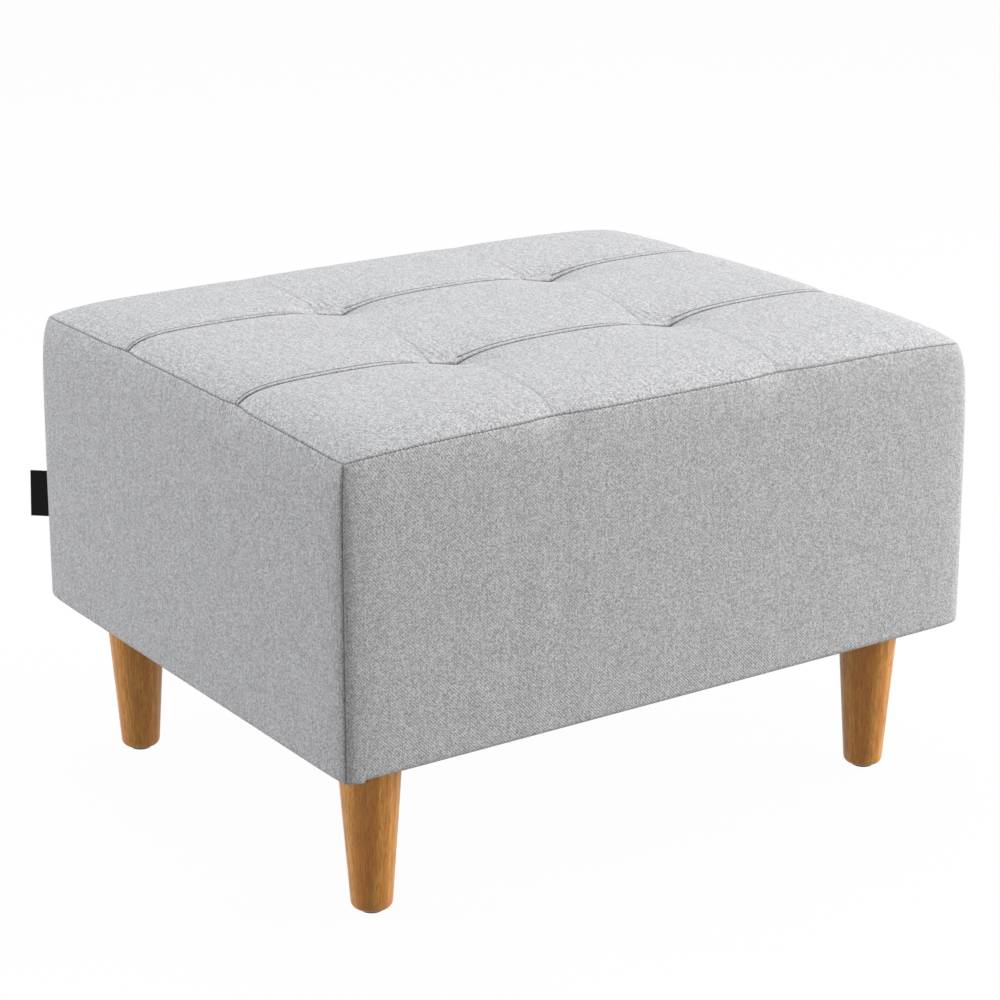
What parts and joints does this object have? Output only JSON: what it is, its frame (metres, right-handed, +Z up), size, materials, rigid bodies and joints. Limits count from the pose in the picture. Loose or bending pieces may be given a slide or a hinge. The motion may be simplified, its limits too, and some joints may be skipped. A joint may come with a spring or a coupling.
{
  "type": "pouf",
  "caption": "Rectangular upholstered pouf in light grey woven cloth, with a four-tuft seamed top and four turned wooden legs.",
  "frame": {"origin": "on the floor, under the middle of the upholstered body", "axes": "+X along the long side towards the right end, +Y towards the back, +Z up"},
  "size_m": [0.6845, 0.5585, 0.445],
  "materials": {
    "cover_cloth": "matte",
    "black_cloth": "matte",
    "wadding": "matte",
    "foam": "matte",
    "plywood": "satin",
    "pine": "satin",
    "leg_wood": "satin",
    "zinc_steel": "satin",
    "black_plastic": "matte",
    "tie_cord": "matte"
  },
  "bodies": {
    "root": {"cover_top_front": "cover_cloth", "cover_top_middle": "cover_cloth", "cover_top_back": "cover_cloth", "cover_front": "cover_cloth", "cover_right": "cover_cloth", "cover_back": "cover_cloth", "cover_left": "cover_cloth", "side_label": "black_cloth", "dust_cover": "black_cloth", "staples": "zinc_steel", "top_wadding": "wadding", "seat_foam": "foam", "pad_front": "foam", "pad_right": "foam", "pad_back": "foam", "pad_left": "foam", "tuft_ties": "tie_cord", "tuft_washers": "black_plastic", "seat_deck": "plywood", "deck_rail": "pine", "panel_front": "plywood", "panel_right": "plywood", "panel_back": "plywood", "panel_left": "plywood", "post_front_left": "pine", "post_front_right": "pine", "post_back_left": "pine", "post_back_right": "pine", "leg_block_front_left": "plywood", "leg_block_front_right": "plywood", "leg_block_back_left": "plywood", "leg_block_back_right": "plywood", "panel_screws": "zinc_steel", "deck_screws": "zinc_steel", "rail_screws": "zinc_steel", "block_screws": "zinc_steel", "tee_nuts": "zinc_steel", "hanger_bolts": "zinc_steel", "leg_front_left": "leg_wood", "leg_front_right": "leg_wood", "leg_back_left": "leg_wood", "leg_back_right": "leg_wood", "glide_front_left": "black_plastic", "glide_front_right": "black_plastic", "glide_back_left": "black_plastic", "glide_back_right": "black_plastic", "glide_nails": "zinc_steel"}
  },
  "joints": []
}
